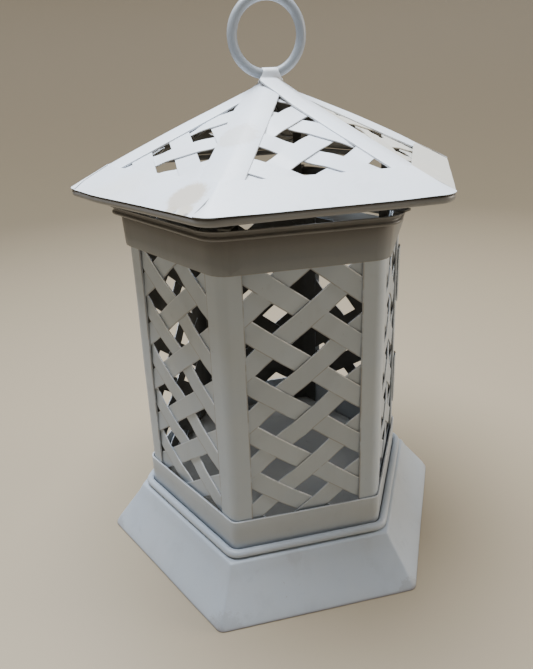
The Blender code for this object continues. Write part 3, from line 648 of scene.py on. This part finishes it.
def trim_strip(bm, outline):
    """Cut a strip off along the panel's outline; what is left is closed and faces outwards."""
    for (u0, w0), (u1, w1) in zip(outline, outline[1:] + outline[:1]):
        length = hypot(u1 - u0, w1 - w0)
        outward = ((w1 - w0) / length, 0, (u0 - u1) / length)
        geometry = bm.verts[:] + bm.edges[:] + bm.faces[:]
        bmesh.ops.bisect_plane(bm, geom=geometry, plane_co=(u0, 0, w0), plane_no=outward, dist=1e-7,
                               clear_outer=True)
        bmesh.ops.holes_fill(bm, edges=[item for item in bm.edges if item.is_boundary])
    bmesh.ops.recalc_face_normals(bm, faces=bm.faces)
    if bm.calc_volume(signed=True) < 0:
        bmesh.ops.reverse_faces(bm, faces=bm.faces)


def woven_panel(name, outline, hole, pitch, depth, matrix, body, materials, replaced, seed):
    """Panel of strips in two directions, woven over and under; outline is convex, in (u, w)."""
    bm = bmesh.new()
    spare = bpy.data.meshes.new("strip")
    slope = pitch[1] / (2 * pitch[0])
    low = min(w for _, w in outline)
    high = max(w for _, w in outline)
    widest = max(abs(u) for u, _ in outline)
    span = (low - slope * widest, high + slope * widest)
    families = {}
    for lean in (1, -1):
        rise = lean * slope
        first = hole[1] - rise * hole[0] + pitch[1] / 2
        strips = {}
        lowest = int((span[0] - first) / pitch[1]) - 1
        highest = int((span[1] - first) / pitch[1]) + 1
        for number in range(lowest, highest + 1):
            stray = noise.noise(Vector((number * 3.7, lean * 5.1, seed * 9.3)))
            turn = noise.noise(Vector((number * 2.9 + 40, lean * 7.7, seed * 4.1)))
            offset = first + number * pitch[1] + stray * 0.9 * MM
            strips[number] = (rise * (1 + turn * 0.02), offset)
        families[lean] = strips
    for lean, strips in families.items():
        for number, (rise, offset) in strips.items():
            along = Vector((1, rise)).normalized()
            u_start = -widest - STRIP
            u_end = widest + STRIP
            start = Vector((u_start, offset + rise * u_start))
            crossings = []
            for other, (other_rise, other_offset) in families[-lean].items():
                u = (other_offset - offset) / (rise - other_rise)
                column = other - number if lean == 1 else number - other
                over = 1 if (column % 2 == 0) == (lean == 1) else -1
                crossings.append(((u - u_start) / along.x, over))
            crossings.sort()
            shown = [pair for pair in crossings if -30 * MM < pair[0] < (u_end - u_start) / along.x + 30 * MM]
            if len(shown) < 2:
                continue
            tone = 0.5 + 0.5 * noise.noise(Vector((number * 1.7, lean * 3.3, seed * 6.1)))
            strip = make_strip(start, along, (u_end - u_start) / along.x, shown, depth, tone)
            trim_strip(strip, outline)
            strip.to_mesh(spare)
            strip.free()
            bm.from_mesh(spare)
    bpy.data.meshes.remove(spare)
    inward = (matrix.to_3x3() @ Vector((0, 1, 0))).normalized()
    wander(bm, matrix)
    # Faces that look into the lantern take the painted shade.
    return add_piece(name, bm, body, materials + [INNER_SHADE], replaced, 24,
                     lambda face: face.normal.dot(inward) > 0.6, turn_faces=False)


def panel_outline(low, high, inset, middle):
    """Corners of a tapering panel whose sides stand inset from the corners of the body."""
    stretch = sqrt(1 + BODY_TAPER ** 2)
    half_low = body_apothem(low) * tan(radians(30)) - inset
    half_high = body_apothem(high) * tan(radians(30)) - inset
    w_low = (low - middle) * stretch
    w_high = (high - middle) * stretch
    return [(-half_low, w_low), (half_low, w_low), (half_high, w_high), (-half_high, w_high)]


def make_body_weave():
    for number, (name, normal) in enumerate(FACES.items()):
        low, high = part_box("panel_" + name)
        outline = panel_outline(low.z, high.z, PANEL_SIDE_INSET, BODY_HOLE_Z)
        place = face_matrix(normal, body_apothem(BODY_HOLE_Z), BODY_HOLE_Z, atan(BODY_TAPER))
        hole = BODY_HOLES.get(name, USUAL_HOLE)
        woven_panel("weave_" + name, outline, hole, BODY_PITCH, PANEL_DEPTH, place, BODY,
                    [BODY_SHADED_WHITE], ("panel_" + name,), number)


def make_door_weave():
    low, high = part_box("door_lattice")
    outline = panel_outline(low.z, high.z, POST_FLANGE + 0.6 * MM, BODY_HOLE_Z)
    place = face_matrix(30, body_apothem(BODY_HOLE_Z), BODY_HOLE_Z, atan(BODY_TAPER))
    woven_panel("weave_door", outline, USUAL_HOLE, BODY_PITCH, DOOR_LATTICE_DEPTH, place, DOOR,
                [BODY_SHADED_WHITE], ("door_lattice",), 11)


def roof_point(s, depth):
    """Apothem and height of a point s up the slope and depth under the roof's surface."""
    apothem = EAVE_APOTHEM - s * cos(ROOF_SLOPE) - depth * sin(ROOF_SLOPE)
    return apothem, EAVE_Z + s * sin(ROOF_SLOPE) - depth * cos(ROOF_SLOPE)


def make_roof_weave():
    low, high = [EAVE_RADIUS / 2 * (1 - s / ROOF_SLANT) - ROOF_WEAVE_INSET
                 for s in (ROOF_WEAVE_START, ROOF_WEAVE_END)]
    middle = ROOF_HOLE[1]
    outline = [(-low, ROOF_WEAVE_START - middle), (low, ROOF_WEAVE_START - middle),
               (high, ROOF_WEAVE_END - middle), (-high, ROOF_WEAVE_END - middle)]
    apothem, z = roof_point(middle, 0)
    for number, (name, normal) in enumerate(ROOF_FACES.items()):
        place = ROOF_PLACE @ face_matrix(normal, apothem, z, pi / 2 - ROOF_SLOPE)
        # The front-right face takes the painted warm side light.
        woven_panel("weave_roof_" + name, outline, (ROOF_HOLE[0], 0), ROOF_PITCH, ROOF_PANEL_DEPTH, place,
                    ROOF, [ROOF_WARM_SIDE_LIGHT if name == "front_right" else ROOF_WHITE],
                    ("roof_panel_" + name,), 20 + number)


# ---------------------------------------------------------------- base and body

def make_base():
    """Flared skirt pressed in one with its ledge, the foot ring, the wire bead and the floor."""
    low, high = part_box("base_skirt")
    foot = high.y
    shoulder = BASE_SHOULDER
    bend = BASE_SHOULDER_RADIUS
    section = [(foot - 0.7 * MM, 5.5, 0.0), (foot - 0.1 * MM, 6, 0.35 * MM),
               (foot - 0.35 * MM, 5.6, 1.0 * MM)]
    for step in range(1, 8):
        share = step / 8
        section.append((foot + (shoulder - foot) * share, max(2.2, 5 - 8 * share),
                        1.0 * MM + 29.4 * MM * share))
    for step in range(7):
        turn = radians(34 + 56 * step / 6)
        section.append((shoulder - bend + bend * cos(turn) / cos(radians(34)), 2.6,
                        high.z - bend + bend * sin(turn)))
    section += [(shoulder - 6 * MM, 3, high.z - 0.15 * MM), (BASE_LEDGE, 4, high.z),
                (BASE_LEDGE, 4, high.z - BASE_SHEET), (shoulder - 3 * MM, 4, high.z - BASE_SHEET),
                (foot - 2.0 * MM, 5, 0.6 * MM), (foot - 1.8 * MM, 5, 0.1 * MM)]
    section = [(apothem, corner * MM, z) for apothem, corner, z in section]
    hexagon_piece("base_skirt_sheet", section, BODY, [BASE_SHADED_WHITE], ("base_skirt", "base_ledge"))
    finished_copy("base_foot_ring", BODY, [BASE_SHADED_WHITE, BASE_EDGE], spacing=14 * MM)

    low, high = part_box("base_bead")
    radius = (high.z - low.z) / 2
    apothem = high.y - radius
    bead = [(apothem + radius * cos(2 * pi * k / 16), BASE_BEAD_CORNER + radius * cos(2 * pi * k / 16),
             low.z + radius + radius * sin(2 * pi * k / 16)) for k in range(16)]
    hexagon_piece("base_bead_wire", bead, BODY, [BASE_SHADED_WHITE], ("base_bead",))
    # The floor plate is in painted shade.
    finished_copy("floor_plate", BODY, [INSIDE_FLOOR_SHADE], spacing=14 * MM)


def make_post(name, corner):
    """Corner post: sheet folded round, with two flat flanges."""
    low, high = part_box("post_" + name)
    radius = POST_RADIUS
    sheet = POST_SHEET
    loops = []
    count = 24
    for step in range(count + 1):
        z = low.z + (high.z - low.z) * step / count
        apothem = body_apothem(z)
        sharp = direction(corner) * (apothem / COS30)
        centre = direction(corner) * ((apothem - radius) / COS30)
        outer = []
        inner = []
        for turn in (-1, 1):
            normal = direction(corner + 30 * turn)
            along = direction(corner + 120 * turn)
            flange = []
            back = []
            for reach in (POST_FLANGE, POST_FLANGE - 0.12 * MM, POST_FLANGE - 0.5 * MM,
                          POST_FLANGE - 0.8 * MM, radius * tan(radians(30)) + 0.4 * MM):
                inset = 0.12 * MM if reach == POST_FLANGE else 0
                flange.append(sharp + along * reach - normal * inset)
                back.append(sharp + along * reach - normal * sheet)
            outer.append(flange)
            inner.append(back)
        bend = [direction(corner - 30 + 60 * k / 8) for k in range(9)]
        outside = outer[0] + [centre + way * radius for way in bend] + outer[1][::-1]
        inside = inner[0] + [centre + way * (radius - sheet) for way in bend] + inner[1][::-1]
        loops.append([point + Vector((0, 0, z)) for point in outside + inside[::-1]])
    bm = bmesh.new()
    # Both flange edges take the dark line of painted shade with rust.
    edge_layer = bm.verts.layers.float.new("lower_edge")
    for row in loft(bm, loops, closed=False, cap=True):
        for index in (0, 1, 2, len(outside) - 3, len(outside) - 2, len(outside) - 1):
            row[index][edge_layer] = 1
    wander(bm)
    # Faces that look at the axis take the painted shade.
    add_piece("post_" + name + "_sheet", bm, BODY, [BODY_SHADED_WHITE, INNER_SHADE], ("post_" + name,),
              20, faces_inwards)


def make_body():
    for name, corner in CORNERS.items():
        make_post(name, corner)
    # The band's bevelled edges take the painted highlight.
    finished_copy("bottom_band", BODY, [BAND_SHADED_WHITE, BAND_EDGE_HIGHLIGHT], edge=0.35 * MM)
    finished_copy("top_band", BODY, [HEAD_SHADE_AND_DIRT, HEAD_EDGE], edge=0.3 * MM)
    make_top_rim()


def make_top_rim():
    """Double lip rolled on the head of the body."""
    low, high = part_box("top_rim")
    inner = high.y - RIM_WIDTH
    tall = high.z - low.z
    profile = [(0.2, 0.1), (2.6, 0.0), (5.2, 0.02), (6.0, 0.14), (5.9, 0.3), (5.0, 0.42), (4.9, 0.56),
               (5.9, 0.76), (7.1, 0.9), (7.1, 0.99), (6.4, 1.0), (5.4, 0.93), (2.9, 0.68), (1.0, 0.4),
               (0.2, 0.26)]
    section = [(inner + out * MM, 9 * MM + out * MM, low.z + tall * up)
               for out, up in smooth_loop(profile, 3)]
    # The lip is in painted shade under the eave.
    hexagon_piece("top_rim_lip", section, BODY, [RIM_EAVE_SHADE], ("top_rim",), smooth=60)


# ---------------------------------------------------------------- door

def make_door():
    finished_copy("door_frame", DOOR, [DOOR_SHADED_WHITE])
    finished_copy("door_catch", DOOR, [DOOR_SHADED_WHITE, BODY_EDGE], edge=0.15 * MM, bend=False)
    for name in ("lower", "upper"):
        finished_copy(name + "_hinge_fixed_leaf", BODY, [DOOR_SHADED_WHITE], edge=0.08 * MM,
                      spacing=0, bend=False)
        finished_copy(name + "_hinge_door_leaf", DOOR, [DOOR_SHADED_WHITE], edge=0.08 * MM,
                      spacing=0, bend=False)
        finished_copy(name + "_hinge_pin", BODY, [PIN_STEEL], edge=0.05 * MM, spacing=0,
                      bend=False)


# ---------------------------------------------------------------- roof

def blunted(point):
    """Point of the eave with the left corner knocked in a little."""
    tip = direction(CORNERS["left"]) * EAVE_RADIUS
    reach = hypot(point.x - tip.x, point.y - tip.y)
    return point - direction(CORNERS["left"]) * 2.6 * MM * ease(reach, 36 * MM, 6 * MM)


def make_eave():
    """Sloping band of six sheets round the eave, and the rolled rim under it.

    Every second sheet laps over both of its neighbours at the corners.
    """
    arc_steps = 8
    side_steps = 14
    per_side = arc_steps + side_steps
    stations = [(-0.2, 12.2), (0.1, 12.0), (1.2, 11.6), (4, 8), (8, 4), (13, 2.6), (19, 2), (23.8, 1.6),
                (24.2, 1.6)]
    for side, name in enumerate(CORNERS):
        is_over = side % 2 == 0
        spare = 0 if is_over else -1
        first = side * per_side - spare
        last = (side + 1) * per_side + arc_steps + spare
        rows = []
        for surface in (0, 1):
            for s, corner in stations if surface == 0 else reversed(stations):
                depth = EAVE_SHEET * surface + EAVE_DEPTH
                apothem, z = roof_point(s * MM, depth)
                over = roof_point(s * MM, depth - LAP_RISE)
                flat = hexagon_loop(apothem, corner * MM, z, arc_steps, side_steps)
                raised = hexagon_loop(over[0], corner * MM, over[1], arc_steps, side_steps)
                row = []
                for index in range(first, last + 1):
                    to_end = min(index - first, last - index)
                    rise = 1 - ease(to_end, arc_steps, arc_steps + 3) if is_over else 0
                    row.append(flat[index % len(flat)].lerp(raised[index % len(flat)], rise))
                rows.append(row)
        columns = [[row[i] for row in rows] for i in range(last - first + 1)]
        bm = bmesh.new()
        loft(bm, [[blunted(point) for point in column] for column in columns], closed=False, cap=True)
        wander(bm, ROOF_PLACE)
        # The front-right sheet takes the painted warm side light.
        paint = ROOF_WARM_SIDE_LIGHT if name == "front_right" else ROOF_WHITE
        # Faces that look down take the painted shade under the roof.
        add_piece("eave_sheet_" + name, bm, ROOF, [paint, INNER_SHADE],
                  ("eave_band",) if side == 0 else (), 30, faces_down)
    profile = [(-2.9, -4.4), (-2.9, -1.4), (-2.2, -1.0), (-1.2, -1.0), (-0.4, -1.4), (-0.1, -2.4),
               (-0.2, -3.6), (-0.9, -4.5), (-1.9, -4.6)]
    section = [(EAVE_APOTHEM + out * MM, EAVE_CORNER + out * MM, EAVE_Z + up * MM)
               for out, up in smooth_loop(profile, 3)]
    # The rolled rim is in painted shade under the eave.
    hexagon_piece("eave_rim_roll", section, ROOF, [EAVE_RIM_SHADE], ("eave_rim",), ROOF_PLACE,
                  smooth=60, shape=blunted)


def hip_height(radius):
    """Height of a hip's outer crease at radius from the roof's axis."""
    crease = EAVE_Z + EAVE_APOTHEM * tan(ROOF_SLOPE) * (1 - radius / EAVE_RADIUS)
    return crease - HIP_DEPTH / cos(ROOF_SLOPE)


def ease(value, start, end):
    """0 before start, 1 after end, smooth between; start may be above end."""
    share = min(max((value - start) / (end - start), 0), 1)
    return share * share * (3 - 2 * share)


def smooth_path(stations, steps=4):
    """Catmull-Rom curve through stations of numbers."""
    path = []
    for index in range(len(stations) - 1):
        around = [stations[min(max(index + k, 0), len(stations) - 1)] for k in (-1, 0, 1, 2)]
        for step in range(steps):
            path.append([spline(*values, step / steps) for values in zip(*around)])
    path.append(list(stations[-1]))
    return path


def make_lapping_hip():
    """The hip at the front right: it laps over the others and runs on as the strap over the ring's wire."""
    corner = 300
    left = 8.8 * MM
    right = 15.4 * MM
    start = EAVE_RADIUS * (1 - HIP_START / ROOF_SLANT)
    wire_z = joints["ring_tip"]["pos_m"][2]
    low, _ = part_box("carry_ring")
    clear = wire_z - low.z + 0.7 * MM
    stations = []
    for step in range(25):
        radius = start + (9 * MM - start) * step / 24
        point = direction(corner) * radius
        lift = 1.1 * MM * ease(radius, 30 * MM, 17 * MM) + 1.3 * MM * ease(radius, 18 * MM, 8 * MM)
        spread = min(right, max(radius / 2 - 0.2 * MM, 4.6 * MM) + 4.6 * MM * ease(radius, 30 * MM, 13 * MM))
        stations.append((point.x, point.y, hip_height(radius) + lift, corner - 120,
                         left + 1.2 * MM * ease(radius, 18 * MM, 9 * MM), corner - 240, spread))
    stations += [
        (2.3 * MM, -6.2 * MM, hip_height(7 * MM) + 2.7 * MM, 179, 8.6 * MM, 38, 7.6 * MM),
        (0.7 * MM, -clear - 0.5 * MM, wire_z - 1.9 * MM, 176, 6.6 * MM, 8, 6.4 * MM),
        (0.4 * MM, -clear, wire_z - 0.3 * MM, 174, 5.0 * MM, -4, 5.6 * MM),
    ]
    for angle in (25, 50, 75, 105, 130, 155, 180):
        stations.append((0.2 * MM, -clear * cos(radians(angle)), wire_z + clear * sin(radians(angle)),
                         174, 3.9 * MM, -6, 5.0 * MM))
    back = hip_height(0) + 1.1 * MM
    stations += [(0.2 * MM, 7 * MM, back - 7 * MM * tan(ROOF_SLOPE) + 0.3 * MM, 174, 4.6 * MM, -6, 5.2 * MM),
                 (0.2 * MM, 11 * MM, back - 11 * MM * tan(ROOF_SLOPE), 174, 4.6 * MM, -6, 5.2 * MM)]
    path = smooth_path(stations)
    loops = []
    for index, (x, y, z, left_way, left_width, right_way, right_width) in enumerate(path):
        before = Vector(path[max(index - 1, 0)][:3])
        after = Vector(path[min(index + 1, len(path) - 1)][:3])
        middle = Vector((x, y, z))
        left_edge = direction(left_way) * left_width
        right_edge = direction(right_way) * right_width
        outward = (right_edge - left_edge).cross(after - before).normalized()
        top = [middle + left_edge * share for share in (1, 0.97, 0.5, 0.1)]
        top += [middle + right_edge * share for share in (0.1, 0.5, 0.97, 1)]
        top[0] -= outward * 0.08 * MM
        top[-1] -= outward * 0.08 * MM
        sheet = HIP_SHEET + (STRAP_SHEET - HIP_SHEET) * ease(z, wire_z - 2.5 * MM, wire_z - 0.5 * MM)
        loops.append(top + [point - outward * sheet for point in reversed(top)])
    bm = bmesh.new()
    loft(bm, loops, closed=False, cap=True)
    wander(bm, ROOF_PLACE)
    # Faces that look down take the painted shade under the roof.
    add_piece("roof_hip_front_right_sheet", bm, ROOF, [ROOF_WHITE, INNER_SHADE],
              ("roof_hip_front_right", "ring_strap"), 35, faces_down)


def lift_share(share):
    """Share of its bow by which a hip stands up at a share of its length from the eave."""
    return sin(pi * min(share * 1.15, 1) ** 0.8)


def make_hip(name, corner, left, right, bow, crown=0.0):
    """A hip strip folded over the roof's edge.

    bow is how far its middle stands up, and crown how far it spreads over its neighbours near the apex.
    """
    start = EAVE_RADIUS * (1 - HIP_START / ROOF_SLANT)
    end = 2 * MM
    slant = Vector((0, 0, -1 / cos(ROOF_SLOPE)))
    loops = []
    count = 40
    for step in range(count + 1):
        radius = start + (end - start) * step / count
        share = (start - radius) / start
        near = ease(radius, 30 * MM, 16 * MM)
        lift = bow * lift_share(share) + 0.14 * crown * near
        crest = direction(corner) * radius + Vector((0, 0, hip_height(radius) + lift))
        flanges = [min(width, radius / 2 - 0.2 * MM + crown * near) for width in (left, right)]
        top = [crest + direction(corner - 120) * flanges[0] * part for part in (1, 0.97, 0.5, 0.1)]
        top += [crest + direction(corner + 120) * flanges[1] * part for part in (0.1, 0.5, 0.97, 1)]
        for point, part in zip(top, (1, 0.97, 0.5, 0.1, 0.1, 0.5, 0.97, 1)):
            point.z -= bow * lift_share(share) * part
        top[0] += slant * 0.08 * MM
        top[-1] += slant * 0.08 * MM
        loops.append(top + [point + slant * HIP_SHEET for point in reversed(top)])
    bm = bmesh.new()
    loft(bm, loops, closed=False, cap=True)
    wander(bm, ROOF_PLACE)
    # Faces that look down take the painted shade under the roof.
    add_piece("roof_hip_" + name + "_sheet", bm, ROOF, [ROOF_WHITE, INNER_SHADE],
              ("roof_hip_" + name,), 35, faces_down)


def make_roof():
    make_eave()
    for name, corner in CORNERS.items():
        if name == "front_left":
            make_hip(name, corner, 15.4 * MM, 10.9 * MM, 0.3 * MM, 4.0 * MM)
        elif name != "front_right":
            make_hip(name, corner, 12.4 * MM, 12.4 * MM, 2.6 * MM if name == "right" else 1.3 * MM)
        # The legs are in painted shade under the roof.
        finished_copy("roof_leg_" + name, ROOF, [INNER_SHADE], edge=0.15 * MM, spacing=0)
    make_lapping_hip()


def make_ring():
    """Carrying ring of bent wire."""
    joint = joints["ring_tip"]
    low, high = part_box("carry_ring")
    bottom = Vector(joint["pos_m"])
    wire = bottom.z - low.z
    radius = (high.z - low.z) / 2 - wire
    side = Vector(joint["axis"])
    front = side.cross(Vector((0, 0, 1)))
    centre = bottom + Vector((0, 0, radius))
    bm = bmesh.new()
    rows = []
    turns = 96
    for step in range(turns):
        angle = 2 * pi * step / turns
        way = side * cos(angle) + Vector((0, 0, 1)) * sin(angle)
        swell = 1 + 0.02 * noise.noise(way * 3)
        rows.append([centre + way * (radius + wire * swell * cos(2 * pi * k / 20))
                     + front * wire * swell * sin(2 * pi * k / 20) for k in range(20)])
    loft(bm, rows)
    add_piece("carry_ring_wire", bm, RING, [RING_GREY], ("carry_ring",), smooth=80)


# ---------------------------------------------------------------- setting

def make_setting():
    """Pale floor that sweeps up into a round wall, soft overhead light and the camera."""
    bm = bmesh.new()
    profile = [(0.01, 0), (0.5, 0), (1.1, 0)]
    profile += [(1.1 + 0.6 * sin(radians(angle)), 0.6 - 0.6 * cos(radians(angle)))
                for angle in range(6, 91, 6)]
    profile.append((1.7, 1.9))
    loft(bm, [[direction(5 * k) * radius + Vector((0, 0, height - 0.2 * MM)) for k in range(72)]
              for radius, height in profile], closed=False)
    bmesh.ops.contextual_create(bm, geom=[item for item in bm.edges if item.is_boundary
                                          and item.verts[0].co.length < 0.02])
    mesh = bpy.data.meshes.new("floor")
    bm.to_mesh(mesh)
    bm.free()
    mesh.shade_smooth()
    floor = bpy.data.objects.new("floor", mesh)
    bpy.context.scene.collection.objects.link(floor)
    material = bpy.data.materials.new("floor")
    material.use_nodes = True
    shader = material.node_tree.nodes["Principled BSDF"]
    shader.inputs["Base Color"].default_value = (0.34, 0.284, 0.203, 1)
    shader.inputs["Roughness"].default_value = 0.6
    mesh.materials.append(material)

    def area(name, place, size, power, colour=(1, 1, 1)):
        light = bpy.data.lights.new(name, "AREA")
        light.shape = "DISK"
        light.size = size
        light.energy = power
        light.color = colour
        item = bpy.data.objects.new(name, light)
        item.location = place
        item.rotation_mode = "QUATERNION"
        item.rotation_quaternion = (Vector(place) - Vector((0, 0, 0.15))).to_track_quat("Z", "Y")
        bpy.context.scene.collection.objects.link(item)

    area("key", (-0.13, 0.12, 1.25), 0.85, 41, (0.90, 0.95, 1.0))
    area("side", (1.15, -0.1, 0.55), 0.5, 7.0, (1.0, 0.91, 0.78))
    world = bpy.data.worlds.new("studio")
    world.use_nodes = True
    world.node_tree.nodes["Background"].inputs["Color"].default_value = (0.86, 0.86, 0.86, 1)
    world.node_tree.nodes["Background"].inputs["Strength"].default_value = 0.17
    bpy.context.scene.world = world

    camera = bpy.data.cameras.new("camera")
    camera.lens = 29.45
    camera.clip_start = 0.01
    item = bpy.data.objects.new("camera", camera)
    bpy.context.scene.collection.objects.link(item)
    bearing = radians(-11.55)
    forward = Vector((0.1805, 0.8830, -0.4333)).normalized()
    right = Vector((cos(bearing), sin(bearing), 0))
    level = Matrix((right, right.cross(forward), -forward)).transposed()
    roll = Matrix.Rotation(radians(-2.28), 3, "Z")
    item.matrix_world = Matrix.Translation((-0.0747, -0.3395, 0.3108)) @ (level @ roll).to_4x4()
    bpy.context.scene.camera = item


make_base()
make_body()
make_body_weave()
make_door()
make_door_weave()
make_roof()
make_roof_weave()
make_ring()
make_setting()
